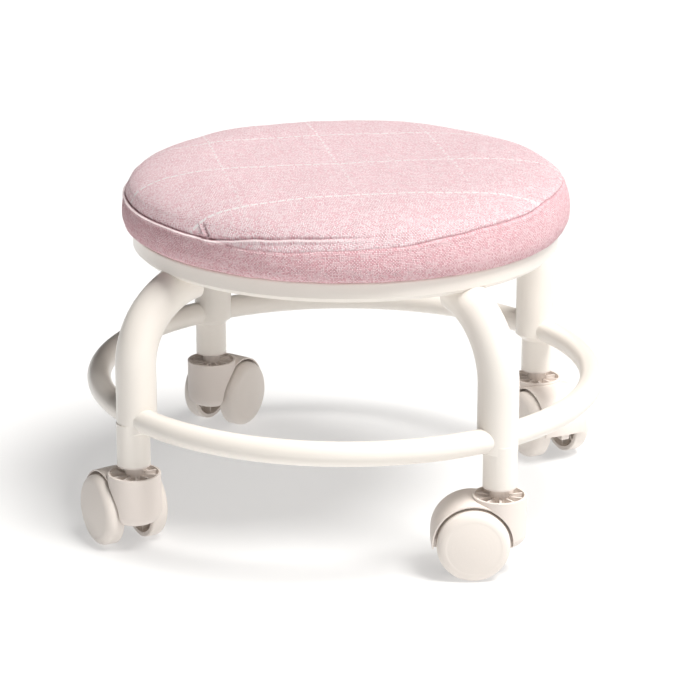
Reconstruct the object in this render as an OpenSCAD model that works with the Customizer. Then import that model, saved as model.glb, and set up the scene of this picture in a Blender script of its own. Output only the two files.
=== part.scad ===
// Low rolling pedicure stool: upholstered round seat, tubular frame with a foot
// ring, four hooded twin-wheel casters. The origin is on the floor under the
// seat's centre, +Z is up, and the legs stand on the diagonals.

/* [Seat] */
// Widest radius of the cushion, at the middle of its side band
seat_r = 150.2; // [148:0.1:152]
// Height of the cushion's lower edge above the floor
seat_bottom_z = 193.7; // [193.6:0.1:194.2]
// Height of the sewn seam where the side band meets the top panel
seat_seam_z = 217; // [212:0.5:220]
// Height of the top of the cushion
seat_top_z = 239.4; // [236:0.1:246]
// Radius of the flat middle of the top panel
seat_flat_r = 60; // [40:1:80]
// Radius of the plywood seat board
board_r = 143; // [140:0.5:144]
// Thickness of the seat board
board_t = 9; // [6:0.5:9]

/* [Seat hoop] */
// Outer radius of the steel hoop under the seat
hoop_r = 142.3; // [140:0.1:145]
// Radial width of the hoop's tube
hoop_w = 18; // [14:0.5:22]
// Height of the hoop's lower edge
hoop_z = 180.2; // [178:0.1:182]
// Height of the hoop's tube
hoop_h = 13.4; // [12:0.1:13.4]

/* [Frame tubes] */
// Distance of the upper leg tube's axis from the stool's centre
leg_r = 166; // [164:0.1:167]
// Outer radius of the upper leg tube
leg_tube_r = 13.25; // [12.5:0.05:14]
// Distance of the caster stem and the leg's lower tube from the stool's centre
stem_axis_r = 169; // [168:0.1:170]
// Outer radius of the leg's reduced lower end
leg_foot_r = 11; // [10.5:0.05:11.5]
// Height of the leg's lower end
leg_end_z = 58.7; // [58.4:0.1:60]
// Centreline radius of the bend at the top of the leg
leg_bend_r = 52.5; // [50:0.5:56]
// Height at which the bend starts
leg_bend_z = 124; // [122:0.5:126]
// Angle of the bend
leg_bend_angle = 81; // [70:1:86]
// Wall thickness of the leg tube
leg_wall = 1.5; // [1:0.1:2]
// Centreline radius of the foot ring
ring_r = 167.2; // [166:0.1:168]
// Outer radius of the foot ring's tube
ring_tube_r = 8; // [7:0.1:9]
// Height of the foot ring's centreline
ring_z = 89.9; // [88:0.1:92]

/* [Casters] */
// Radius of a wheel
wheel_r = 23.5; // [23:0.1:24]
// Distance of the axle behind the swivel axis
trail = 17; // [16.6:0.1:17.8]
// Distance of a wheel's inner rim from the caster's middle plane
wheel_in = 10.5; // [10:0.1:11]
// Distance of a wheel's crowned face from the caster's middle plane
wheel_out = 24.3; // [23.5:0.1:25]
// Radius of the housing's upright boss
boss_r = 17.5; // [17:0.1:18]
// Height of the boss's rim above the floor
boss_top_z = 52; // [51.6:0.1:52.2]
// Number of ribs round the boss's inner sleeve
boss_ribs = 10; // [6:1:12]
// Half width of the hood over the wheels
hood_half = 16.5; // [15:0.1:17]
// Heading of the front left caster, from its stem to its axle, in degrees
heading_front_left = 129.4; // [0:0.1:360]
// Heading of the front right caster
heading_front_right = 190; // [0:0.1:360]
// Heading of the back right caster
heading_back_right = 306.1; // [0:0.1:360]
// Heading of the back left caster
heading_back_left = 68.6; // [0:0.1:360]

/* [Hidden] */
$fn = 96;
big = 400;

// corners of the stool, as [direction of the leg, heading of its caster]
front_left = [225, heading_front_left];
front_right = [315, heading_front_right];
back_right = [45, heading_back_right];
back_left = [135, heading_back_left];
corners = [front_left, front_right, back_right, back_left];

// seat
crown_r = seat_r - 4.2;         // radius at which the crowned top panel starts
crown_z = seat_seam_z + 7;      // its height there
crown_power = 7;                // how square the crown's shoulder is
crown_root = 1.57;
fabric_t = 1.2;                 // cover folded under the board
hem_r = 120;                    // inner edge of the folded cover
board_z = seat_bottom_z + fabric_t;
board_gap = 0.2;

// hoop
hoop_wall = 1.6;
hoop_chamfer = 3;
hoop_round = 1.6;
tab_w = 24;
tab_t = 3;
tab_r = 98;                     // inner end of a seat tab
tab_hole_r = 2.75;
screw_ring_r = 108;             // where the seat screws stand
screw_r = 2;
screw_head_r = 4.6;
screw_head_t = 2.4;
screw_bite = 7;                 // depth of the screw in the board

// legs
foot_bore_r = leg_foot_r - leg_wall;
leg_bore_r = leg_tube_r - leg_wall;
swage_z = ring_z - ring_tube_r - 1.4;   // where the reduced end starts to widen
swage_h = 6;
ring_wall = 1.2;

// stem and its socket
socket_flange_t = 1.1;
socket_flange_z = leg_end_z - socket_flange_t;
socket_top_z = 83;
stem_r = 5.5;
stem_clear = 0.05;
stem_top_z = 80;
pin_r = 4;
pin_z = 25;
sleeve_r = 6.2;                 // plastic sleeve round the stem, above the boss
sleeve_top_z = boss_top_z + 3.8;
collar_r = 6.6;
collar_z = sleeve_top_z + 0.2;
collar_t = 1.2;
grip_z = 70;
grip_t = 3;
grip_depth = 0.8;

// caster
axle_r = 3;
axle_half = wheel_out - 4.7;
axle_chamfer = 0.6;
axle_groove_a = axle_half - 3;  // where the snap groove starts along the axle
axle_groove_w = 1.2;
axle_boss_r = 6;
arch_r = wheel_r + 1.9;         // inside of the hood
hood_edge_r = arch_r + 0.9;     // outside of the hood at its edges
hood_mid_r = arch_r + 1.5;      // and in the middle
hood_end_z = 21;                // lowest edge of the hood behind the wheels
boss_bottom_z = 18.5;
boss_round = 8;
boss_wall = 1.6;
pocket_z = 46;                  // floor of the ribbed pocket
pocket_skin_r = arch_r + 1.3;
rib_t = 1.4;
rib_top_z = boss_top_z - 0.9;
core_r = boss_r - 0.6;          // solid core between the wheels
core_half = wheel_in - 0.8;
axle_boss_half = core_half + 0.2;
web_half = 3;
web_z = 17;
wheel_hub_r = 6.2;
wheel_hub_in = axle_boss_half + 0.4;
wheel_bore_r = axle_r + 0.05;
wheel_bore_end = axle_half + 0.5;
wheel_skin = 2.4;
rim_bore_r = wheel_r - 3;
rim_round = 4;                  // rounding inside the rim
shoulder_r = wheel_r - 6.5;     // where the rounded shoulder meets the face
shoulder_a = wheel_out - 6.8;   // where the shoulder starts along the axle
face_a = wheel_out - 1.5;
spokes = 8;
spoke_t = 1.4;
spoke_in = wheel_in + 2.5;

function arc(cx, cy, rx, ry, a0, a1, n) =
    [for (i = [0:n]) let (a = a0 + (a1 - a0) * i / n) [cx + rx * cos(a), cy + ry * sin(a)]];

function crown(r) = crown_z + (seat_top_z - crown_z) * pow(1 - pow(r / crown_r, crown_power), 1 / crown_root);

module steel() { color([0.96, 0.93, 0.88]) children(); }
module plastic() { color([0.93, 0.89, 0.84]) children(); }
module zinc() { color([0.72, 0.72, 0.73]) children(); }

// places its children at a leg: X outwards, stool's centre at the origin
module at_leg(corner) { rotate([0, 0, corner[0]]) children(); }

// places its children at a caster: stem axis at the origin, X towards the axle
module at_caster(corner) {
    rotate([0, 0, corner[0]]) translate([stem_axis_r, 0, 0])
        rotate([0, 0, corner[1] - corner[0]]) children();
}

// turns a Z axis into the wheels' axle, centred on the caster's middle plane
module on_axle() { translate([trail, 0, wheel_r]) rotate([-90, 0, 0]) children(); }

// ---- seat
module seat_cushion() {
    band_h = seat_seam_z - seat_bottom_z;
    side = [for (i = [0:8]) let (t = i / 8)
        [seat_r - 3.7 * pow(abs(2 * t - 1), 2.2), seat_bottom_z + band_h * t]];
    top = [for (i = [0:11]) let (t = 1 - i / 12, r = seat_flat_r + (crown_r - seat_flat_r) * t)
        [r, crown(r)]];
    pocket_r = board_r + board_gap;
    pocket_top = board_z + board_t + board_gap;
    color([0.89, 0.72, 0.73]) rotate_extrude() polygon(concat(
        [[0, pocket_top], [pocket_r, pocket_top], [pocket_r, board_z], [hem_r, board_z], [hem_r, seat_bottom_z]],
        side, top, [[seat_flat_r, seat_top_z], [0, seat_top_z]]));
}

module seat_board() {
    color([0.78, 0.64, 0.45]) difference() {
        translate([0, 0, board_z]) cylinder(r = board_r, h = board_t);
        for (a = [0:90:270]) rotate([0, 0, a]) translate([screw_ring_r, 0, board_z - 1])
            cylinder(r = screw_r + 0.02, h = screw_bite + 1.2, $fn = 32);
    }
}

module dust_cloth() {
    color([0.85, 0.84, 0.82]) difference() {
        translate([0, 0, board_z - 0.7]) cylinder(r = hem_r - 0.4, h = 0.7);
        for (a = [0:90:270]) rotate([0, 0, a]) translate([screw_ring_r, 0, board_z - 2])
            cylinder(r = screw_r + 0.2, h = 4, $fn = 32);
    }
}

// ---- seat hoop: rolled tube with a chamfered lower outer corner
function hoop_outline(inset) = let (
    o = hoop_r - inset, i = hoop_r - hoop_w + inset, b = hoop_z + inset, t = hoop_z + hoop_h - inset,
    c = hoop_chamfer - inset * 0.6, k = max(hoop_round - inset, 0.3))
    concat([[i + k, b], [o - c, b], [o, b + c]],
        arc(o - k, t - k, k, k, 0, 90, 4), arc(i + k, t - k, k, k, 90, 180, 4),
        [[i, b + k]]);

module seat_hoop() {
    steel() rotate_extrude($fn = 144) difference() {
        polygon(hoop_outline(0));
        polygon(hoop_outline(hoop_wall));
    }
}

// everything above the hoop's underside: what a leg is coped against
module hoop_cope() {
    rotate_extrude($fn = 144) polygon([[0, hoop_z], [hoop_r - hoop_chamfer, hoop_z],
        [hoop_r, hoop_z + hoop_chamfer], [hoop_r, hoop_z + 40], [0, hoop_z + 40]]);
}

module seat_tabs() {
    top = hoop_z + hoop_h;
    steel() for (a = [0:90:270]) rotate([0, 0, a]) difference() {
        union() {
            intersection() {
                translate([tab_r + tab_w / 2, -tab_w / 2, top - tab_t])
                    cube([hoop_r - tab_r, tab_w, tab_t]);
                cylinder(r = hoop_r - hoop_w, h = big, $fn = 144);
            }
            translate([tab_r + tab_w / 2, 0, top - tab_t]) cylinder(r = tab_w / 2, h = tab_t);
        }
        translate([screw_ring_r, 0, top - tab_t - 1]) cylinder(r = tab_hole_r, h = tab_t + 2, $fn = 32);
    }
}

module seat_screws() {
    under = hoop_z + hoop_h - tab_t;
    zinc() for (a = [0:90:270]) rotate([0, 0, a]) translate([screw_ring_r, 0, 0]) difference() {
        union() {
            translate([0, 0, under]) cylinder(r = screw_r, h = board_z + screw_bite - under, $fn = 32);
            translate([0, 0, under - screw_head_t / 2]) cylinder(r = screw_head_r, h = screw_head_t / 2, $fn = 48);
            translate([0, 0, under - screw_head_t])
                cylinder(r1 = screw_head_r - 1.3, r2 = screw_head_r, h = screw_head_t / 2, $fn = 48);
        }
        for (q = [0, 90]) rotate([0, 0, q]) translate([-2.4, -0.45, under - screw_head_t - 1]) cube([4.8, 0.9, 2.3]);
    }
}

// ---- legs, drawn in the XZ plane with X outwards
module bend(tube_r) {
    translate([leg_r - leg_bend_r, 0, leg_bend_z]) rotate([90, 0, 0])
        rotate_extrude(angle = leg_bend_angle) translate([leg_bend_r, 0]) circle(r = tube_r, $fn = 72);
}

module leg_solid() {
    translate([stem_axis_r, 0, leg_end_z]) cylinder(r = leg_foot_r, h = swage_z + swage_h - leg_end_z);
    intersection() {
        translate([leg_r, 0, swage_z]) cylinder(r = leg_tube_r, h = leg_bend_z - swage_z);
        union() {
            translate([stem_axis_r, 0, swage_z])
                cylinder(r1 = leg_foot_r - 0.5, r2 = leg_foot_r + swage_h, h = swage_h);
            translate([leg_r, 0, swage_z + swage_h - 0.01]) cylinder(r = leg_tube_r + 4, h = leg_bend_z);
        }
    }
    bend(leg_tube_r);
}

module leg_bore() {
    translate([stem_axis_r, 0, leg_end_z - 1]) cylinder(r = foot_bore_r, h = swage_z + swage_h + 2 - leg_end_z);
    translate([leg_r, 0, swage_z + swage_h]) cylinder(r = leg_bore_r, h = leg_bend_z - swage_z - swage_h);
    translate([leg_r - leg_bend_r, 0, leg_bend_z]) rotate([90, 0, 0])
        rotate_extrude(angle = leg_bend_angle + 4) translate([leg_bend_r, 0]) circle(r = leg_bore_r, $fn = 72);
}

module leg(corner) {
    steel() difference() {
        at_leg(corner) leg_solid();
        at_leg(corner) leg_bore();
        hoop_cope();
    }
}

// ---- foot ring: one arc of tube between two legs, coped round both
module foot_ring(corner) {
    next = [corner[0] + 90, 0];
    steel() difference() {
        rotate([0, 0, corner[0]]) translate([0, 0, ring_z]) rotate_extrude(angle = 90, $fn = 144)
            translate([ring_r, 0]) difference() {
                circle(r = ring_tube_r, $fn = 48);
                circle(r = ring_tube_r - ring_wall, $fn = 48);
            }
        at_leg(corner) leg_solid();
        at_leg(next) leg_solid();
    }
}

// ---- caster stem and the plastic socket that holds it in the leg
module socket(corner) {
    plastic() at_leg(corner) translate([stem_axis_r, 0, 0]) difference() {
        union() {
            translate([0, 0, leg_end_z]) cylinder(r = foot_bore_r - 0.02, h = socket_top_z - leg_end_z);
            translate([0, 0, socket_flange_z]) cylinder(r = leg_foot_r, h = socket_flange_t);
        }
        translate([0, 0, socket_flange_z - 1]) cylinder(r = stem_r + stem_clear, h = big, $fn = 64);
        for (a = [0:60:300]) rotate([0, 0, a]) translate([foot_bore_r, 0, leg_end_z + 2])
            cylinder(r = 1.4, h = big, $fn = 24);
        translate([0, 0, grip_z - 0.3]) cylinder(r = stem_r + grip_depth, h = grip_t + 0.6, $fn = 64);
    }
}

module stem(corner) {
    zinc() at_leg(corner) translate([stem_axis_r, 0, 0]) difference() {
        union() {
            translate([0, 0, pin_z]) cylinder(r = pin_r, h = collar_z - pin_z, $fn = 64);
            translate([0, 0, collar_z]) cylinder(r = collar_r, h = collar_t, $fn = 64);
            translate([0, 0, collar_z]) cylinder(r = stem_r, h = stem_top_z - collar_z - 1.5, $fn = 64);
            translate([0, 0, stem_top_z - 1.5]) cylinder(r1 = stem_r, r2 = stem_r - 1.5, h = 1.5, $fn = 64);
        }
        translate([0, 0, grip_z]) difference() {
            cylinder(r = stem_r + 1, h = grip_t, $fn = 64);
            cylinder(r = stem_r - grip_depth, h = grip_t, $fn = 64);
        }
    }
}

module grip_rings() {
    zinc() for (corner = corners) at_leg(corner) translate([stem_axis_r, 0, grip_z + 0.2]) difference() {
        cylinder(r = stem_r + grip_depth - 0.1, h = grip_t - 0.4, $fn = 64);
        translate([0, 0, -1]) cylinder(r = stem_r - grip_depth + 0.1, h = grip_t + 2, $fn = 64);
        translate([0, -0.8, -1]) cube([20, 1.6, grip_t + 2]);
    }
}

// ---- caster housing
module boss() {
    rotate_extrude() polygon(concat([[0, boss_bottom_z]],
        arc(boss_r - boss_round, boss_bottom_z + boss_round, boss_round, boss_round, -90, 0, 8),
        arc(boss_r - 0.5, boss_top_z - 0.5, 0.5, 0.5, 0, 90, 3), [[0, boss_top_z]]));
}

// barrel over both wheels, cut off behind them and in front of the swivel axis
module hood() {
    drop = hood_mid_r - hood_edge_r;
    intersection() {
        on_axle() rotate_extrude() polygon(concat([[0, -hood_half]],
            [for (i = [0:8]) let (t = i / 4 - 1) [hood_mid_r - drop * t * t, hood_half * t]],
            [[0, hood_half]]));
        translate([0, -big / 2, hood_end_z]) cube([big, big, big]);
    }
}

module boss_pocket() {
    difference() {
        translate([0, 0, pocket_z]) cylinder(r = boss_r - boss_wall, h = boss_top_z);
        on_axle() cylinder(r = pocket_skin_r, h = big, center = true);
        cylinder(r = sleeve_r - 0.5, h = sleeve_top_z);
        for (i = [0:boss_ribs - 1]) rotate([0, 0, (i + 0.5) * 360 / boss_ribs])
            translate([0, -rib_t / 2, 0]) cube([boss_r, rib_t, rib_top_z]);
    }
}

// room under the hood for the wheels, leaving a solid core between them
module wheel_space() {
    difference() {
        on_axle() cylinder(r = arch_r, h = big, center = true);
        intersection() {
            cylinder(r = core_r, h = big);
            translate([-big / 2, -core_half, 0]) cube([big, 2 * core_half, big]);
        }
    }
}

// web behind the core, and the axle's boss
module middle_wall() {
    intersection() {
        on_axle() cylinder(r = arch_r + 0.3, h = 2 * web_half, center = true);
        translate([0, -big / 2, web_z]) cube([big, big, big]);
    }
    on_axle() cylinder(r = axle_boss_r, h = 2 * axle_boss_half, center = true);
}

module housing(corner) {
    plastic() at_caster(corner) difference() {
        union() {
            difference() {
                union() { boss(); hood(); }
                wheel_space();
                boss_pocket();
            }
            middle_wall();
            translate([0, 0, pocket_z - 2]) cylinder(r = sleeve_r, h = sleeve_top_z - pocket_z + 2);
        }
        translate([0, 0, pin_z - 0.5]) cylinder(r = pin_r + stem_clear, h = big, $fn = 64);
        on_axle() cylinder(r = axle_r + 0.02, h = big, center = true, $fn = 48);
    }
}

// ---- axle with a snap groove near each end
module axle(corner) {
    zinc() at_caster(corner) on_axle() difference() {
        union() {
            cylinder(r = axle_r, h = 2 * (axle_half - axle_chamfer), center = true, $fn = 48);
            for (s = [0, 1]) mirror([0, 0, s]) translate([0, 0, axle_half - axle_chamfer])
                cylinder(r1 = axle_r, r2 = axle_r - axle_chamfer, h = axle_chamfer, $fn = 48);
        }
        for (s = [0, 1]) mirror([0, 0, s]) translate([0, 0, axle_groove_a]) difference() {
            cylinder(r = axle_r + 1, h = axle_groove_w, $fn = 48);
            cylinder(r = axle_r - 0.4, h = axle_groove_w, $fn = 48);
        }
    }
}

// ---- wheel: moulded shell open towards the housing, spokes inside
module wheel(corner, side) {
    back_a = face_a - wheel_skin;
    face = [for (i = [1:6]) let (t = 1 - i / 6) [shoulder_r * t, wheel_out - (wheel_out - face_a) * t * t]];
    plastic() at_caster(corner) on_axle() mirror([0, 0, side]) difference() {
        union() {
            rotate_extrude() polygon(concat(
                [[wheel_hub_r, back_a], [rim_bore_r - rim_round, back_a]],
                arc(rim_bore_r - rim_round, shoulder_a, rim_round, back_a - shoulder_a, 90, 0, 4),
                [[rim_bore_r, wheel_in], [wheel_r - 0.6, wheel_in], [wheel_r, wheel_in + 0.6]],
                arc(shoulder_r, shoulder_a, wheel_r - shoulder_r, face_a - shoulder_a, 0, 90, 8),
                face, [[0, wheel_hub_in], [wheel_hub_r, wheel_hub_in]]));
            for (i = [0:spokes - 1]) rotate([0, 0, i * 360 / spokes]) translate([0, -spoke_t / 2, spoke_in]) {
                translate([wheel_hub_r - 1, 0, 0])
                    cube([rim_bore_r - wheel_hub_r + 1.5, spoke_t, shoulder_a - spoke_in - 0.3]);
                translate([wheel_hub_r - 1, 0, 0])
                    cube([rim_bore_r - rim_round - wheel_hub_r + 0.6, spoke_t, back_a - spoke_in + 0.5]);
            }
        }
        translate([0, 0, wheel_hub_in - 1]) cylinder(r = wheel_bore_r, h = wheel_bore_end - wheel_hub_in + 1, $fn = 48);
    }
}

seat_cushion();
seat_board();
dust_cloth();
seat_hoop();
seat_tabs();
seat_screws();
leg(front_left);  // leg_front_left
leg(front_right);  // leg_front_right
leg(back_right);  // leg_back_right
leg(back_left);  // leg_back_left
foot_ring(front_left);  // foot_ring_front
foot_ring(front_right);  // foot_ring_right
foot_ring(back_right);  // foot_ring_back
foot_ring(back_left);  // foot_ring_left
socket(front_left);  // socket_front_left
socket(front_right);  // socket_front_right
socket(back_right);  // socket_back_right
socket(back_left);  // socket_back_left
stem(front_left);  // stem_front_left
stem(front_right);  // stem_front_right
stem(back_right);  // stem_back_right
stem(back_left);  // stem_back_left
grip_rings();
housing(front_left);  // housing_front_left
housing(front_right);  // housing_front_right
housing(back_right);  // housing_back_right
housing(back_left);  // housing_back_left
axle(front_left);  // axle_front_left
axle(front_right);  // axle_front_right
axle(back_right);  // axle_back_right
axle(back_left);  // axle_back_left
wheel(front_left, 0);  // wheel_front_left_a
wheel(front_left, 1);  // wheel_front_left_b
wheel(front_right, 0);  // wheel_front_right_a
wheel(front_right, 1);  // wheel_front_right_b
wheel(back_right, 0);  // wheel_back_right_a
wheel(back_right, 1);  // wheel_back_right_b
wheel(back_left, 0);  // wheel_back_left_a
wheel(back_left, 1);  // wheel_back_left_b
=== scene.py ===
import math

import bmesh
import bpy
from mathutils import Matrix, Vector, noise
from mathutils.bvhtree import BVHTree


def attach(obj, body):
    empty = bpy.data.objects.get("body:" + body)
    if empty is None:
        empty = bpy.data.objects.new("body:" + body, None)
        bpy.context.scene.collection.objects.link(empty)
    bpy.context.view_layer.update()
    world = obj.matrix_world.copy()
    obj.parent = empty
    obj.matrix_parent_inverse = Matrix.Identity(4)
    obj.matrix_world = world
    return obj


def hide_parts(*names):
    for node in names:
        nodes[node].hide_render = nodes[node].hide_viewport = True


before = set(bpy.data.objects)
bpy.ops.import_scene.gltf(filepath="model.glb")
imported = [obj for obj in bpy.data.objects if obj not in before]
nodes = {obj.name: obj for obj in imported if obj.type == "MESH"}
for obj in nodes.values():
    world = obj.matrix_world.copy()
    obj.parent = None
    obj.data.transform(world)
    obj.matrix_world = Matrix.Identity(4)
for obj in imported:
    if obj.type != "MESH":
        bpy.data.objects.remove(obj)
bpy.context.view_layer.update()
print("frame loaded:", len(nodes), "nodes")


# camera, floor and lights

shot = {
    "azimuth": 9.57,
    "elevation": 17.83,
    "distance": 1.837,
    "aimRight": -0.004,
    "aimUp": 0.1112,
    "lens": 143.4,
}


def makeCamera(s):
    azimuth, elevation = math.radians(s["azimuth"]), math.radians(s["elevation"])
    right = Vector((math.cos(azimuth), math.sin(azimuth), 0))
    back = Vector((
        math.sin(azimuth) * math.cos(elevation),
        -math.cos(azimuth) * math.cos(elevation),
        math.sin(elevation),
    ))
    data = bpy.data.cameras.new("camera")
    data.lens = s["lens"]
    data.sensor_width = 36
    data.clip_start = 0.05
    camera = bpy.data.objects.new("camera", data)
    bpy.context.scene.collection.objects.link(camera)
    camera.location = right * s["aimRight"] + Vector((0, 0, s["aimUp"])) + back * s["distance"]
    camera.rotation_mode = "QUATERNION"
    camera.rotation_quaternion = back.to_track_quat("Z", "Y")
    bpy.context.scene.camera = camera


studio = {
    "floorSize": 14.0,
    "floorColor": (0.52, 0.52, 0.52, 1),
    "floorGlow": 0.44,
    "glowColor": (1.0, 0.995, 0.99, 1),
    "floorRoughness": 0.9,
    "floorSpecular": 0.1,
    "worldColor": (1.0, 0.985, 0.97, 1),
    "worldStrength": 0.06,
    # name: where it comes from (right of, towards and above the camera), strength, softness, colour
    "suns": {
        "key": ((0.54, 0.30, 1.25), 4.0, 26, (1.0, 0.985, 0.96)),
        "fill": ((0.45, 0.85, 0.45), 0.50, 50, (1.0, 0.97, 0.95)),
        "rim": ((0.9, -0.9, 0.8), 0.30, 40, (1.0, 0.98, 0.96)),
    },
}


def makeStudio(s):
    mesh = bmesh.new()
    bmesh.ops.create_grid(mesh, x_segments=1, y_segments=1, size=s["floorSize"] / 2)
    data = bpy.data.meshes.new("floor")
    mesh.to_mesh(data)
    mesh.free()
    floor = bpy.data.objects.new("floor", data)
    bpy.context.scene.collection.objects.link(floor)
    material = bpy.data.materials.new("floorPaper")
    material.use_nodes = True
    shader = material.node_tree.nodes["Principled BSDF"]
    shader.inputs["Base Color"].default_value = s["floorColor"]
    shader.inputs["Roughness"].default_value = s["floorRoughness"]
    shader.inputs["Specular IOR Level"].default_value = s["floorSpecular"]
    shader.inputs["Emission Color"].default_value = s["glowColor"]
    shader.inputs["Emission Strength"].default_value = s["floorGlow"]
    data.materials.append(material)
    world = bpy.data.worlds.new("studio")
    bpy.context.scene.world = world
    world.use_nodes = True
    background = world.node_tree.nodes["Background"]
    background.inputs["Color"].default_value = s["worldColor"]
    background.inputs["Strength"].default_value = s["worldStrength"]
    turn = Matrix.Rotation(math.radians(shot["azimuth"]), 3, "Z")
    for name, (source, strength, softness, color) in s["suns"].items():
        light = bpy.data.lights.new(name, "SUN")
        light.energy = strength
        light.angle = math.radians(softness)
        light.color = color
        lamp = bpy.data.objects.new(name, light)
        bpy.context.scene.collection.objects.link(lamp)
        lamp.rotation_mode = "QUATERNION"
        lamp.rotation_quaternion = (turn @ Vector((source[0], -source[1], source[2]))).to_track_quat("Z", "Y")
    bpy.context.scene.view_settings.view_transform = "Standard"


makeCamera(shot)
makeStudio(studio)
print("camera and studio made")


# shader groups

def newGroup(name, inputs, outputs):
    group = bpy.data.node_groups.new(name, "ShaderNodeTree")
    for label, kind, value in inputs:
        socket = group.interface.new_socket(label, in_out="INPUT", socket_type=kind)
        if value is not None:
            socket.default_value = value
    for label, kind in outputs:
        group.interface.new_socket(label, in_out="OUTPUT", socket_type=kind)
    return group, group.nodes.new("NodeGroupInput"), group.nodes.new("NodeGroupOutput")


def mathNode(tree, operation, a, b=None, c=None, clamp=False):
    node = tree.nodes.new("ShaderNodeMath")
    node.operation = operation
    node.use_clamp = clamp
    for socket, value in zip(node.inputs, (a, b, c)):
        if isinstance(value, (int, float)):
            socket.default_value = value
        elif value is not None:
            tree.links.new(value, socket)
    return node.outputs[0]


def mixColor(tree, factor, a, b):
    node = tree.nodes.new("ShaderNodeMix")
    node.data_type = "RGBA"
    for socket, value in ((node.inputs[0], factor), (node.inputs[6], a), (node.inputs[7], b)):
        if isinstance(value, (int, float, tuple)):
            socket.default_value = value
        else:
            tree.links.new(value, socket)
    return node.outputs[2]


def noiseNode(tree, vector, scale, detail=2.0, roughness=0.5):
    node = tree.nodes.new("ShaderNodeTexNoise")
    node.inputs["Scale"].default_value = scale
    node.inputs["Detail"].default_value = detail
    node.inputs["Roughness"].default_value = roughness
    tree.links.new(vector, node.inputs["Vector"])
    return node.outputs["Fac"]


def buildSkinGroup():
    # fine orange peel of a coat or a moulding, with slow patches of tone
    group, inside, outside = newGroup(
        "finishSkin",
        [("Vector", "NodeSocketVector", None), ("Peel Scale", "NodeSocketFloat", 900.0),
         ("Patch Scale", "NodeSocketFloat", 14.0)],
        [("Height", "NodeSocketFloat"), ("Patch", "NodeSocketFloat")],
    )
    peel = group.nodes.new("ShaderNodeTexNoise")
    peel.inputs["Detail"].default_value = 3.0
    group.links.new(inside.outputs["Vector"], peel.inputs["Vector"])
    group.links.new(inside.outputs["Peel Scale"], peel.inputs["Scale"])
    patch = group.nodes.new("ShaderNodeTexNoise")
    patch.inputs["Detail"].default_value = 4.0
    group.links.new(inside.outputs["Vector"], patch.inputs["Vector"])
    group.links.new(inside.outputs["Patch Scale"], patch.inputs["Scale"])
    group.links.new(peel.outputs["Fac"], outside.inputs["Height"])
    group.links.new(patch.outputs["Fac"], outside.inputs["Patch"])
    return group


weave = {
    "wobbleScale": 130.0,
    "wobble": 0.0020,
    "plumpness": 0.5,
    # how fast a yarn's tone changes along it, and how far the next yarn's changes are staggered
    "toneRate": 0.41,
    "toneStagger": 0.37,
    "slubScale": 240.0,
    # how much of the height and of the tone is set by which yarn lies on top
    "topHeight": 0.45,
    "topTone": 0.30,
}


def buildWeaveGroup(s):
    # a plain weave whose yarns change tone along their length; the vector is in metres across the cloth
    group, inside, outside = newGroup(
        "yarnWeave",
        [("Vector", "NodeSocketVector", None), ("Yarn Pitch", "NodeSocketFloat", 0.0008)],
        [("Height", "NodeSocketFloat"), ("Yarn", "NodeSocketFloat"), ("Slub", "NodeSocketFloat")],
    )
    wobble = group.nodes.new("ShaderNodeTexNoise")
    wobble.inputs["Scale"].default_value = s["wobbleScale"]
    wobble.inputs["Detail"].default_value = 1.0
    group.links.new(inside.outputs["Vector"], wobble.inputs["Vector"])
    shift = group.nodes.new("ShaderNodeVectorMath")
    shift.operation = "MULTIPLY_ADD"
    group.links.new(wobble.outputs["Color"], shift.inputs[0])
    shift.inputs[1].default_value = (s["wobble"], s["wobble"], 0.0)
    group.links.new(inside.outputs["Vector"], shift.inputs[2])
    split = group.nodes.new("ShaderNodeSeparateXYZ")
    group.links.new(shift.outputs[0], split.inputs[0])
    cells = []
    rounds = []
    for axis in (0, 1):
        yarns = mathNode(group, "DIVIDE", split.outputs[axis], inside.outputs["Yarn Pitch"])
        cells.append(mathNode(group, "FLOOR", yarns))
        wave = mathNode(group, "SINE", mathNode(group, "MULTIPLY", yarns, math.pi))
        rounds.append(mathNode(group, "ABSOLUTE", wave))
    plump = mathNode(group, "POWER", mathNode(group, "MULTIPLY", rounds[0], rounds[1]), s["plumpness"])
    # cells lie on top and below in turn
    half = mathNode(group, "MULTIPLY", mathNode(group, "ADD", cells[0], cells[1]), 0.5)
    onTop = mathNode(group, "GREATER_THAN", mathNode(group, "FRACT", half), 0.25)
    tones = []
    for yarn, place in ((cells[0], cells[1]), (cells[1], cells[0])):
        travel = mathNode(group, "MULTIPLY", place, s["toneRate"])
        stretch = mathNode(group, "FLOOR", mathNode(group, "MULTIPLY_ADD", yarn, s["toneStagger"], travel))
        cell = group.nodes.new("ShaderNodeCombineXYZ")
        group.links.new(yarn, cell.inputs[0])
        group.links.new(stretch, cell.inputs[1])
        speck = group.nodes.new("ShaderNodeTexWhiteNoise")
        speck.noise_dimensions = "2D"
        group.links.new(cell.outputs[0], speck.inputs["Vector"])
        tones.append(speck.outputs["Value"])
    swap = mathNode(group, "SUBTRACT", tones[0], tones[1])
    tone = mathNode(group, "MULTIPLY_ADD", onTop, swap, tones[1])
    rest = mathNode(group, "MULTIPLY", tone, 1 - s["topHeight"])
    level = mathNode(group, "MULTIPLY_ADD", onTop, s["topHeight"], rest)
    group.links.new(mathNode(group, "MULTIPLY", level, plump), outside.inputs["Height"])
    rest = mathNode(group, "MULTIPLY", tone, 1 - s["topTone"])
    group.links.new(mathNode(group, "MULTIPLY_ADD", onTop, s["topTone"], rest), outside.inputs["Yarn"])
    slub = noiseNode(group, inside.outputs["Vector"], s["slubScale"], 3.0)
    group.links.new(slub, outside.inputs["Slub"])
    return group


skinGroup = buildSkinGroup()
weaveGroup = buildWeaveGroup(weave)


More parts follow.
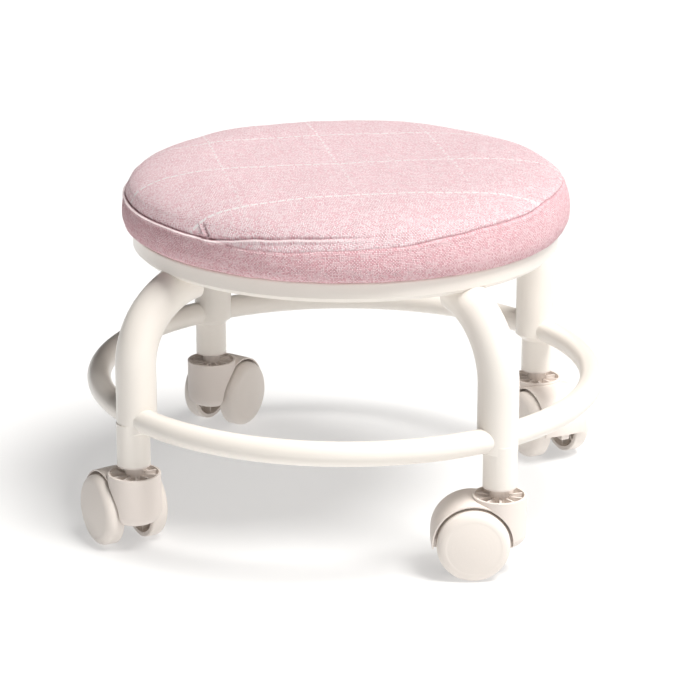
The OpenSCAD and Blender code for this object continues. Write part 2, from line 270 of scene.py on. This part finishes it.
def placeGroup(tree, group, values):
    node = tree.nodes.new("ShaderNodeGroup")
    node.node_tree = group
    for name, value in values.items():
        node.inputs[name].default_value = value
    return node


# materials

def startMaterial(name, color, roughness, specular=0.5, metallic=0.0):
    material = bpy.data.materials.new(name)
    material.use_nodes = True
    tree = material.node_tree
    shader = tree.nodes["Principled BSDF"]
    shader.inputs["Base Color"].default_value = (*color, 1)
    shader.inputs["Roughness"].default_value = roughness
    shader.inputs["Specular IOR Level"].default_value = specular
    shader.inputs["Metallic"].default_value = metallic
    return material, tree, shader


def addBump(tree, shader, height, strength, distance):
    bump = tree.nodes.new("ShaderNodeBump")
    bump.inputs["Strength"].default_value = strength
    bump.inputs["Distance"].default_value = distance
    tree.links.new(height, bump.inputs["Height"])
    tree.links.new(bump.outputs["Normal"], shader.inputs["Normal"])


finishes = {
    "creamPowderCoat": {"light": (0.93, 0.885, 0.825), "dark": (0.90, 0.845, 0.78), "rough": (0.30, 0.42),
                        "peel": 850.0, "bump": 0.10, "coat": 0.35},
    "creamNylon": {"light": (0.87, 0.80, 0.75), "dark": (0.83, 0.755, 0.70), "rough": (0.38, 0.52),
                   "peel": 1500.0, "bump": 0.12, "coat": 0.0},
    "wheelNylon": {"light": (0.89, 0.83, 0.775), "dark": (0.85, 0.785, 0.73), "rough": (0.34, 0.5),
                   "peel": 1200.0, "bump": 0.10, "coat": 0.0},
}


def makeFinish(name, s):
    material, tree, shader = startMaterial(name, s["light"], s["rough"][0])
    shader.inputs["Coat Weight"].default_value = s["coat"]
    shader.inputs["Coat Roughness"].default_value = 0.25
    place = tree.nodes.new("ShaderNodeTexCoord")
    skin = placeGroup(tree, skinGroup, {"Peel Scale": s["peel"]})
    tree.links.new(place.outputs["Object"], skin.inputs["Vector"])
    patch = mathNode(tree, "MULTIPLY_ADD", skin.outputs["Patch"], 2.0, -0.5, clamp=True)
    tree.links.new(mixColor(tree, patch, (*s["dark"], 1), (*s["light"], 1)), shader.inputs["Base Color"])
    low, high = s["rough"]
    tree.links.new(mathNode(tree, "MULTIPLY_ADD", patch, low - high, high), shader.inputs["Roughness"])
    addBump(tree, shader, skin.outputs["Height"], s["bump"], 0.0004)
    return material


# zinc plate's grey, partly made darker than bare zinc as painted shade, so that the stems and collars under
# the leg ends read as the dark shaded gap there
gapShadeZinc = {
    "base": (0.40, 0.39, 0.39),
    "dark": (0.30, 0.29, 0.29),
    "light": (0.46, 0.45, 0.45),
    "rough": 0.38,
    "skin": {"Peel Scale": 2200.0, "Patch Scale": 260.0},
    "bump": (0.1, 0.0002),
}


def makeGapShadeZinc(s):
    material, tree, shader = startMaterial("gapShadeZincPlate", s["base"], s["rough"], metallic=1.0)
    place = tree.nodes.new("ShaderNodeTexCoord")
    skin = placeGroup(tree, skinGroup, s["skin"])
    tree.links.new(place.outputs["Object"], skin.inputs["Vector"])
    plated = mixColor(tree, skin.outputs["Patch"], (*s["dark"], 1), (*s["light"], 1))
    tree.links.new(plated, shader.inputs["Base Color"])
    addBump(tree, shader, skin.outputs["Height"], *s["bump"])
    return material


plywood = {
    "base": (0.72, 0.56, 0.38),
    "dark": (0.55, 0.38, 0.22),
    "light": (0.82, 0.68, 0.48),
    "rough": 0.6,
    # the grain runs along x and is layered up the board
    "grain": (6, 70, 900),
    "bump": (0.2, 0.0004),
}


def makePlywood(s):
    material, tree, shader = startMaterial("birchPlywood", s["base"], s["rough"])
    place = tree.nodes.new("ShaderNodeTexCoord")
    stretch = tree.nodes.new("ShaderNodeMapping")
    stretch.inputs["Scale"].default_value = s["grain"]
    tree.links.new(place.outputs["Object"], stretch.inputs["Vector"])
    grain = noiseNode(tree, stretch.outputs["Vector"], 1.0, 5.0)
    wood = mixColor(tree, grain, (*s["dark"], 1), (*s["light"], 1))
    tree.links.new(wood, shader.inputs["Base Color"])
    addBump(tree, shader, grain, *s["bump"])
    return material


lining = {
    "base": (0.78, 0.77, 0.75),
    "dark": (0.66, 0.65, 0.63),
    "light": (0.88, 0.87, 0.85),
    "rough": 0.9,
    "fibreScale": 700.0,
    "bump": (0.5, 0.0005),
}


def makeLining(s):
    material, tree, shader = startMaterial("nonWovenLining", s["base"], s["rough"], specular=0.2)
    place = tree.nodes.new("ShaderNodeTexCoord")
    fibre = noiseNode(tree, place.outputs["Object"], s["fibreScale"], 6.0, 0.7)
    felt = mixColor(tree, fibre, (*s["dark"], 1), (*s["light"], 1))
    tree.links.new(felt, shader.inputs["Base Color"])
    addBump(tree, shader, fibre, *s["bump"])
    return material


cloth = {
    "light": (1.0, 0.82, 0.855),
    # the dark end of the yarns' tone, also reached as painted shade in the weave's low points
    "deepToneAndShade": (0.74, 0.44, 0.49),
    # painted shade for the band round the side, which gets less light than the top
    "band": (0.97, 0.86, 0.87),
    # painted shade for the seam's creases, and a painted highlight for the lip
    "creaseShade": (0.42, 0.21, 0.24),
    "lipHighlight": (1.0, 0.90, 0.91),
    "check": (1.0, 0.93, 0.94),
    "pitch": 0.00105,
    # the two ways of the woven check: across the seat, then from front to back
    "checkWidth": (0.0014, 0.0021),
    "checkPitch": (0.0760, 0.0776),
    "checkStart": (-0.0073, -0.0190),
    "checkShare": (0.85, 1.0),
    # where the second lot sinks into the weave, towards the front
    "checkRise": (5.0, 0.95),
    "floatLength": (0.0042, 0.0030),
    "floatGap": (0.5, 0.22),
    "bump": 1.0,
    "bumpDepth": 0.0007,
    "driftScale": 45.0,
    "drift": 0.0035,
    # how much of the tone comes from the yarns and from their slubs, and how much painted shade the weave's
    # height puts in its low points between the yarns
    "yarnShare": (1.6, -0.42),
    "slubShare": 0.35,
    "hollowShadeShare": 0.40,
    # how strongly the seam's painted shade and the lip's painted highlight are mixed in
    "seamShadeShare": 0.6,
    "lipHighlightShare": 0.8,
}


def makeCloth(s):
    material, tree, shader = startMaterial("pinkLinen", s["light"], 0.9, specular=0.2)
    shader.inputs["Sheen Weight"].default_value = 0.1
    shader.inputs["Sheen Roughness"].default_value = 0.5
    shader.inputs["Sheen Tint"].default_value = (1.0, 0.92, 0.93, 1)
    uv = tree.nodes.new("ShaderNodeUVMap")
    uv.uv_map = "clothMetres"
    yarns = placeGroup(tree, weaveGroup, {"Yarn Pitch": s["pitch"]})
    tree.links.new(uv.outputs["UV"], yarns.inputs["Vector"])
    drift = tree.nodes.new("ShaderNodeTexNoise")
    drift.inputs["Scale"].default_value = s["driftScale"]
    drift.inputs["Detail"].default_value = 2.0
    tree.links.new(uv.outputs["UV"], drift.inputs["Vector"])
    wander = tree.nodes.new("ShaderNodeVectorMath")
    wander.operation = "MULTIPLY_ADD"
    tree.links.new(drift.outputs["Color"], wander.inputs[0])
    wander.inputs[1].default_value = (s["drift"], s["drift"], 0.0)
    tree.links.new(uv.outputs["UV"], wander.inputs[2])
    split = tree.nodes.new("ShaderNodeSeparateXYZ")
    tree.links.new(wander.outputs[0], split.inputs[0])
    # the woven check, on the top panel only, its threads floating in and out of the cloth
    threads = []
    for axis, across in ((0, 1), (1, 0)):
        away = mathNode(tree, "SUBTRACT", split.outputs[axis], s["checkStart"][axis])
        near = mathNode(tree, "PINGPONG", away, s["checkPitch"][axis] / 2)
        on = mathNode(tree, "LESS_THAN", near, s["checkWidth"][axis] / 2)
        floated = mathNode(tree, "PINGPONG", split.outputs[across], s["floatLength"][axis])
        shown = mathNode(tree, "GREATER_THAN", floated, s["floatLength"][axis] * s["floatGap"][axis])
        thread = mathNode(tree, "MULTIPLY", on, shown)
        threads.append(mathNode(tree, "MULTIPLY", thread, s["checkShare"][axis]))
    # the front to back threads sink into the weave towards the front
    risen = mathNode(tree, "MULTIPLY_ADD", split.outputs[1], *s["checkRise"], clamp=True)
    threads[0] = mathNode(tree, "MULTIPLY", threads[0], risen)
    both = mathNode(tree, "MAXIMUM", threads[0], threads[1])
    topOnly = mathNode(tree, "LESS_THAN", mathNode(tree, "ABSOLUTE", split.outputs[1]), 0.5)
    check = mathNode(tree, "MULTIPLY", both, topOnly)
    fleck = mathNode(tree, "MULTIPLY_ADD", yarns.outputs["Yarn"], *s["yarnShare"])
    fleck = mathNode(tree, "MULTIPLY_ADD", yarns.outputs["Slub"], s["slubShare"], fleck)
    # painted shade: the weave's low points between the yarns are darkened by its height
    depth = mathNode(tree, "MULTIPLY_ADD", yarns.outputs["Height"], s["hollowShadeShare"], fleck, clamp=True)
    woven = mixColor(tree, depth, (*s["deepToneAndShade"], 1), (*s["light"], 1))
    # on the band the colour is painted darker and fuller as shade, since less light falls on the side than on
    # the top; its part of the map lies above this line
    onBand = mathNode(tree, "GREATER_THAN", split.outputs[1], 1.0)
    bandShadeTint = tree.nodes.new("ShaderNodeMix")
    bandShadeTint.data_type = "RGBA"
    bandShadeTint.blend_type = "MULTIPLY"
    tree.links.new(onBand, bandShadeTint.inputs[0])
    tree.links.new(woven, bandShadeTint.inputs[6])
    bandShadeTint.inputs[7].default_value = (*s["band"], 1)
    checked = mixColor(tree, check, bandShadeTint.outputs[2], (*s["check"], 1))
    sewn = tree.nodes.new("ShaderNodeAttribute")
    sewn.attribute_name = "seamShading"
    # above nought the attribute is painted shade in the seam's creases, below it a painted highlight on the
    # lip
    shade = mathNode(tree, "MULTIPLY", sewn.outputs["Fac"], s["seamShadeShare"], clamp=True)
    seamShadedColour = mixColor(tree, shade, checked, (*s["creaseShade"], 1))
    lipHighlightMask = mathNode(tree, "MULTIPLY", sewn.outputs["Fac"], -s["lipHighlightShare"], clamp=True)
    tree.links.new(mixColor(tree, lipHighlightMask, seamShadedColour, (*s["lipHighlight"], 1)), shader.inputs["Base Color"])
    addBump(tree, shader, yarns.outputs["Height"], s["bump"], s["bumpDepth"])
    return material


materials = {name: makeFinish(name, settings) for name, settings in finishes.items()}
# the stems, axles, grip rings and screws share this zinc, darkened in part as painted shade
materials["gapShadeZincPlate"] = makeGapShadeZinc(gapShadeZinc)
materials["birchPlywood"] = makePlywood(plywood)
materials["nonWovenLining"] = makeLining(lining)
materials["pinkLinen"] = makeCloth(cloth)

finishOfNode = {
    "seat_hoop": "creamPowderCoat", "seat_tabs": "creamPowderCoat", "leg": "creamPowderCoat",
    "foot_ring": "creamPowderCoat", "socket": "creamNylon", "housing": "creamNylon",
    "wheel": "wheelNylon", "stem": "gapShadeZincPlate", "axle": "gapShadeZincPlate", "grip_rings": "gapShadeZincPlate",
    "seat_screws": "gapShadeZincPlate", "seat_board": "birchPlywood", "dust_cloth": "nonWovenLining",
    "seat_cushion": "pinkLinen",
}


def dressFrame():
    for name, node in nodes.items():
        start = max((k for k in finishOfNode if name.startswith(k)), key=len)
        material = materials[finishOfNode[start]]
        if not node.data.materials:
            node.data.materials.append(material)
        for slot in node.material_slots:
            slot.material = material


dressFrame()
print("materials made:", len(materials))


# seat cushion

pad = {
    # outline, in metres: the crown over the seam's height, the band below it, and the pocket for the board
    "topHeight": 0.2394, "crownHeight": 0.224, "crownRadius": 0.146, "crownPower": 7.0, "crownRoot": 1.57,
    "bandHeight": 0.206, "bandRadius": 0.1502, "bottomHeight": 0.1938, "bottomRadius": 0.1465,
    "sidePower": 2.2, "boardRadius": 0.1434, "hemRadius": 0.1205, "pocketRadius": 0.1432, "pocketTop": 0.2041,
    "liningHeight": 0.1949,
    "steps": 540, "seamRow": 0.217, "rowPitch": 0.0004, "topEdge": 0.134, "topRows": 44,
    # the blown-up form
    "coreInset": 0.0025, "coreRowPitch": 0.002, "coreSteps": 96, "voxel": 0.005, "pressure": 4.0,
    "frames": 20, "quality": 6, "mass": 0.25, "stiffness": 12, "bending": 0.4, "seamReach": 0.0028,
    "seamInside": 0.138, "cap": 0.004, "smoothings": 6, "puff": 0.3, "heartRadius": 0.105,
    "heartHeight": 0.205,
    # the cloth on the seat: how far its check is turned, and the radius that the band's length is taken at
    "clothTurn": 19.5, "bandWrap": 0.149, "bandShift": 2.0, "millimetresPerDegree": 2.59,
    # slow waves of the surface, and ripples of the lower edge: (how many, how high in metres)
    "waves": ((22, 0.0009), (70, 0.0003)),
    "ripples": ((31, 0.00035), (53, 0.00022)),
    # the sewn seam, the fold that leaves it at the front, and the lower edge: (degrees, millimetres up)
    "seam": [
        (-165, 217.6), (-135, 216.6), (-121, 215.8), (-114.5, 215.2), (-104, 213.4), (-96, 213.4),
        (-84, 215.7), (-68, 217.4), (-53, 220.9), (-44, 222.7), (-29, 223.3), (-16, 225.8), (20, 224.5),
        (70, 221), (120, 218.5), (195, 217.6),
    ],
    "fold": [(-118, 214.2), (-113, 216.4), (-101, 220), (-91, 222), (-80, 222.9), (-66, 223)],
    "lowerEdge": [
        (-165, 196.4), (-131, 196.9), (-120, 196.0), (-111, 194.7), (-100, 193.9), (-65, 194.5),
        (-40, 194.0), (0, 194.3), (60, 194.0), (140, 194.4), (195, 196.4),
    ],
    # a pleat and some puckers that run up from the seam: (degrees, lean, length, depth and width in mm)
    "puckers": [
        (-115.5, -0.42, 12, 2.2, 1.2), (-73, 0.5, 7, 0.6, 1.0), (-69, 0.55, 6, 0.5, 1.0),
        (-150, 0.3, 8, 0.4, 2.0), (-52, 0.3, 6, 0.3, 1.4), (60, 0.3, 9, 0.5, 1.8), (118, -0.3, 8, 0.5, 1.6),
    ],
}


def along(knots, degrees):
    # height, in metres, of a line drawn through knots, eased between them
    d = degrees
    while d < knots[0][0]:
        d += 360
    while d > knots[-1][0] and d - 360 >= knots[0][0]:
        d -= 360
    d = min(d, knots[-1][0])
    for (a0, z0), (a1, z1) in zip(knots, knots[1:]):
        if d <= a1:
            t = (d - a0) / (a1 - a0)
            return (z0 + (z1 - z0) * t * t * (3 - 2 * t)) / 1000
    return knots[-1][1] / 1000


def bell(x, width):
    return math.exp(-(x / width) ** 2)


def ramp(x, start, end):
    t = min(max((x - start) / (end - start), 0.0), 1.0)
    return t * t * (3 - 2 * t)


def sideRadius(z):
    s = pad
    if z >= s["crownHeight"]:
        rise = min((z - s["crownHeight"]) / (s["topHeight"] - s["crownHeight"]), 1.0)
        return s["crownRadius"] * (1 - rise ** s["crownRoot"]) ** (1 / s["crownPower"])
    if z >= s["bandHeight"]:
        rise = (z - s["bandHeight"]) / (s["crownHeight"] - s["bandHeight"])
        return s["bandRadius"] - (s["bandRadius"] - s["crownRadius"]) * rise ** s["sidePower"]
    drop = (s["bandHeight"] - z) / (s["bandHeight"] - s["bottomHeight"])
    return s["bandRadius"] - (s["bandRadius"] - s["bottomRadius"]) * drop ** s["sidePower"]


def crownHeightAt(r):
    s = pad
    share = max(0.0, 1 - (r / s["crownRadius"]) ** s["crownPower"])
    return s["crownHeight"] + (s["topHeight"] - s["crownHeight"]) * share ** (1 / s["crownRoot"])


def padProfile(rowPitch):
    # from the middle of the top outwards, then down the side; rows are close together round the seam
    s = pad
    rows = s["topRows"]
    top = [(s["topEdge"] * i / rows, crownHeightAt(s["topEdge"] * i / rows)) for i in range(rows + 1)]
    heights = []
    z = top[-1][1]
    while z > s["bottomHeight"]:
        near = s["seamRow"] - 0.004 < z < s["seamRow"] + 0.010
        z -= rowPitch if near else 2.5 * rowPitch
        heights.append(max(z, s["bottomHeight"]))
    return top + [(sideRadius(z), z) for z in heights]


def spunPad(name, profile, steps):
    mesh = bmesh.new()
    points = [mesh.verts.new((r, 0, z)) for r, z in profile]
    edges = [mesh.edges.new(pair) for pair in zip(points, points[1:])]
    bmesh.ops.spin(
        mesh, geom=points + edges, cent=(0, 0, 0), axis=(0, 0, 1), dvec=(0, 0, 0),
        angle=math.tau, steps=steps, use_merge=True,
    )
    bmesh.ops.remove_doubles(mesh, verts=mesh.verts, dist=0.00002)
    bmesh.ops.recalc_face_normals(mesh, faces=mesh.faces)
    data = bpy.data.meshes.new(name)
    mesh.to_mesh(data)
    mesh.free()
    piece = bpy.data.objects.new(name, data)
    bpy.context.scene.collection.objects.link(piece)
    return piece


def applyModifiers(piece):
    bpy.context.view_layer.update()
    evaluated = piece.evaluated_get(bpy.context.evaluated_depsgraph_get())
    data = bpy.data.meshes.new_from_object(evaluated)
    piece.modifiers.clear()
    piece.data = data
    return piece


def blowUpPad():
    # a slightly smaller foam form, its seam and underside held, blown out against its own cloth
    s = pad
    outline = [(max(r - s["coreInset"], 0.0), z - s["coreInset"] * ramp(z, 0.206, 0.236))
               for r, z in padProfile(s["coreRowPitch"])]
    core = spunPad("padCore", outline + [(0.0, outline[-1][1])], s["coreSteps"])
    remesh = core.modifiers.new("remesh", "REMESH")
    remesh.mode = "VOXEL"
    remesh.voxel_size = s["voxel"]
    applyModifiers(core)
    rest = [v.co.copy() for v in core.data.vertices]
    held = core.vertex_groups.new(name="sewn")
    for v in core.data.vertices:
        degrees = math.degrees(math.atan2(v.co.y, v.co.x))
        fromSeam = abs(v.co.z - along(s["seam"], degrees))
        atSeam = fromSeam < s["seamReach"] and math.hypot(v.co.x, v.co.y) > s["seamInside"]
        if v.co.z < s["bottomHeight"] + 0.002 or atSeam:
            held.add([v.index], 1.0 if v.co.z < 0.2 else 0.85, "REPLACE")
    skin = core.modifiers.new("skin", "CLOTH")
    skin.settings.quality = s["quality"]
    skin.settings.mass = s["mass"]
    skin.settings.tension_stiffness = s["stiffness"]
    skin.settings.compression_stiffness = s["stiffness"]
    skin.settings.bending_stiffness = s["bending"]
    skin.settings.use_pressure = True
    skin.settings.uniform_pressure_force = s["pressure"]
    skin.settings.vertex_group_mass = "sewn"
    skin.settings.effector_weights.gravity = 0
    skin.point_cache.frame_start = 1
    skin.point_cache.frame_end = s["frames"]
    scene = bpy.context.scene
    for number in range(1, s["frames"] + 1):
        scene.frame_set(number)
    applyModifiers(core)
    scene.frame_set(1)
    for v, start in zip(core.data.vertices, rest):
        move = v.co - start
        if move.length > s["cap"]:
            v.co = start + move.normalized() * s["cap"]
    mesh = bmesh.new()
    mesh.from_mesh(core.data)
    for _ in range(s["smoothings"]):
        bmesh.ops.smooth_vert(
            mesh, verts=mesh.verts, factor=0.5, use_axis_x=True, use_axis_y=True, use_axis_z=True
        )
    mesh.to_mesh(core.data)
    mesh.free()
    return core


def seamRelief(degrees, z):
    # how far the cloth stands out at a point of the side, in metres, and how much painted shade its grooves
    # get (above nought) and painted highlight its ridges get (below nought); the bells below are in
    # millimetres from the line that they follow
    d = (degrees + 180) % 360 - 180
    fromSeam = (z - along(pad["seam"], d)) * 1000
    out = 0.0
    paintedShading = 0.0
    tucked = ramp(d, -108, -116) + ramp(d, 150, 180) if d < 0 or d > 100 else 0.0
    tucked = min(tucked, 1.0)
    # at the left the top panel comes up from behind the band's upper edge
    out += tucked * (0.9 * bell(fromSeam + 0.8, 0.8) - 1.5 * bell(fromSeam - 0.9, 0.8))
    # painted shade in the hollow above the seam and a painted highlight on the lip below it
    paintedShading += tucked * (0.7 * bell(fromSeam - 1.0, 0.5) - 1.3 * bell(fromSeam + 0.3, 0.6))
    # further round, the seam is a pressed groove between two soft rolls
    soft = (1 - tucked) * (0.8 - 0.5 * ramp(d, -118, -112) * ramp(d, -60, -74))
    rolls = 0.5 * bell(fromSeam + 2.0, 1.3) + 0.4 * bell(fromSeam - 2.2, 1.4)
    out += soft * (rolls - 1.2 * bell(fromSeam, 0.75))
    # painted shade in the pressed groove
    paintedShading += soft * 0.75 * bell(fromSeam, 0.6)
    if -119 < d < -66:
        fromFold = (z - along(pad["fold"], d)) * 1000
        held = ramp(d, -119, -114) * ramp(d, -68, -90)
        out += held * (1.0 * bell(fromFold + 0.9, 0.9) - 1.3 * bell(fromFold - 0.9, 0.8))
        # painted shade in the hollow above the fold and a painted highlight on its ridge
        paintedShading += held * (0.6 * bell(fromFold - 1.0, 0.5) - 1.1 * bell(fromFold + 0.3, 0.6))
    for start, lean, length, depth, width in pad["puckers"]:
        if 0 < fromSeam < length and abs(d - start) < 10:
            across = (d - start - lean * fromSeam) * pad["millimetresPerDegree"]
            fade = ramp(fromSeam, 0, 1) * ramp(fromSeam, length, length * 0.4)
            ridge = bell(across + 1.3 * width, width)
            groove = bell(across, width)
            out += fade * depth * (0.7 * ridge - groove)
            # painted shade in each pucker's groove and a painted highlight on its ridge
            paintedShading += 0.3 * fade * min(depth, 1.2) * (groove - 0.4 * ridge)
    # the shoulder's own crease at the right
    if -38 < d < -2:
        out -= 0.4 * ramp(d, -38, -28) * ramp(d, -2, -10) * bell(z * 1000 - 232.6, 1.1)
    return out / 1000, max(min(paintedShading, 1.0), -1.0)


def shapePad(cover, puffed):
    s = pad
    sewn = cover.data.attributes.new("seamShading", "FLOAT", "POINT")
    hidden = s["bottomHeight"] - 0.0001
    for v in cover.data.vertices:
        r = math.hypot(v.co.x, v.co.y)
        z = v.co.z
        # the underside and the pocket keep the board's own shape
        if z < hidden or (r < s["pocketRadius"] + 0.0001 and z < s["pocketTop"] + 0.0005):
            continue
        degrees = math.degrees(math.atan2(v.co.y, v.co.x))
        outward = Vector((v.co.x, v.co.y, 0)).normalized() if r > 1e-6 else Vector((1, 0, 0))
        # rows keep to the seam as it rises and falls
        lift = along(s["seam"], degrees) - s["seamRow"]
        share = ramp(z, s["bottomHeight"] + 0.003, s["seamRow"]) * ramp(z, 0.2325, s["seamRow"] + 0.0005)
        z += lift * share
        edge = along(s["lowerEdge"], degrees) - s["bottomHeight"]
        angle = math.radians(degrees)
        for phase, (number, height) in enumerate(s["ripples"]):
            edge += height * math.sin(angle * number + phase)
        z += max(edge, 0.0) * ramp(z, s["bandHeight"], s["bottomHeight"])
        if r > 0.133:
            r = sideRadius(z) if z < 0.2335 else r
        p = outward * r + Vector((0, 0, z))
        if puffed is not None:
            start = outward * min(r, s["heartRadius"]) + Vector((0, 0, s["heartHeight"]))
            hit = puffed.ray_cast(start, (p - start).normalized())[0]
            if hit is not None:
                move = (hit - p) * s["puff"]
                p += move if move.length < s["cap"] else move.normalized() * s["cap"]
        slope = (sideRadius(z + 0.0004) - sideRadius(z - 0.0004)) / 0.0008 if z < 0.2338 else -2.0
        normal = (outward + Vector((0, 0, min(-slope, 8.0)))).normalized()
        if r > 0.125:
            relief, paintedShading = seamRelief(degrees, z)
            p += normal * relief
            # the seam's painted shade and highlight are stored for the cloth's colour
            sewn.data[v.index].value = paintedShading
        else:
            normal = Vector((0, 0, 1))
        (slow, slowHeight), (quick, quickHeight) = s["waves"]
        wave = noise.noise(p * slow) * slowHeight + noise.noise(p * quick + Vector((3, 1, 7))) * quickHeight
        p += normal * wave * ramp(z, s["bottomHeight"], s["bottomHeight"] + 0.004)
        v.co = p


def clothMap(cover):
    # the cloth's own flat measure in metres: the top lies square to its check, the band runs round
    turn = math.radians(pad["clothTurn"])
    cosTurn, sinTurn = math.cos(turn), math.sin(turn)
    bm = bmesh.new()
    bm.from_mesh(cover.data)
    uvLayer = bm.loops.layers.uv.new("clothMetres")
    for face in bm.faces:
        face.smooth = True
        middle = face.calc_center_median()
        azimuth = math.atan2(middle.y, middle.x)
        onBand = middle.z < along(pad["seam"], math.degrees(azimuth)) + 0.0003
        for loop in face.loops:
            p = loop.vert.co
            if onBand:
                a = math.atan2(p.y, p.x)
                a += math.tau * round((azimuth - a) / math.tau)
                loop[uvLayer].uv = (a * pad["bandWrap"], pad["bandShift"] + p.z)
            else:
                stretch = 1 + 0.5 * (pad["topHeight"] - p.z) / max(math.hypot(p.x, p.y), 0.01)
                x, y = p.x * stretch, p.y * stretch
                loop[uvLayer].uv = (x * cosTurn + y * sinTurn, y * cosTurn - x * sinTurn)
    bm.to_mesh(cover.data)
    bm.free()


def makeCushion():
    s = pad
    # the cover folds under the board to its hem, and the board's pocket lies above that
    bottom = s["bottomHeight"]
    under = [
        (0.1450, bottom - 0.00004), (s["boardRadius"], bottom - 0.00006), (0.1420, bottom - 0.00008),
        (0.1320, bottom - 0.0001), (s["hemRadius"] + 0.0006, bottom - 0.0001),
        (s["hemRadius"], bottom + 0.0005), (s["hemRadius"] + 0.0004, s["liningHeight"]),
        (s["pocketRadius"], s["liningHeight"]), (s["pocketRadius"], s["pocketTop"]), (0.0, s["pocketTop"]),
    ]
    cover = spunPad("seatCover", padProfile(s["rowPitch"]) + under, s["steps"])
    puffed = None
    core = blowUpPad()
    puffed = BVHTree.FromPolygons([v.co for v in core.data.vertices],
                                  [p.vertices[:] for p in core.data.polygons])
    bpy.data.objects.remove(core)
    print("cushion blown up")
    shapePad(cover, puffed)
    clothMap(cover)
    cover.data.materials.append(materials["pinkLinen"])
    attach(cover, "frame")
    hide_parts("seat_cushion")
    return cover


seatCover = makeCushion()
print("cushion made:", len(seatCover.data.vertices), "points")
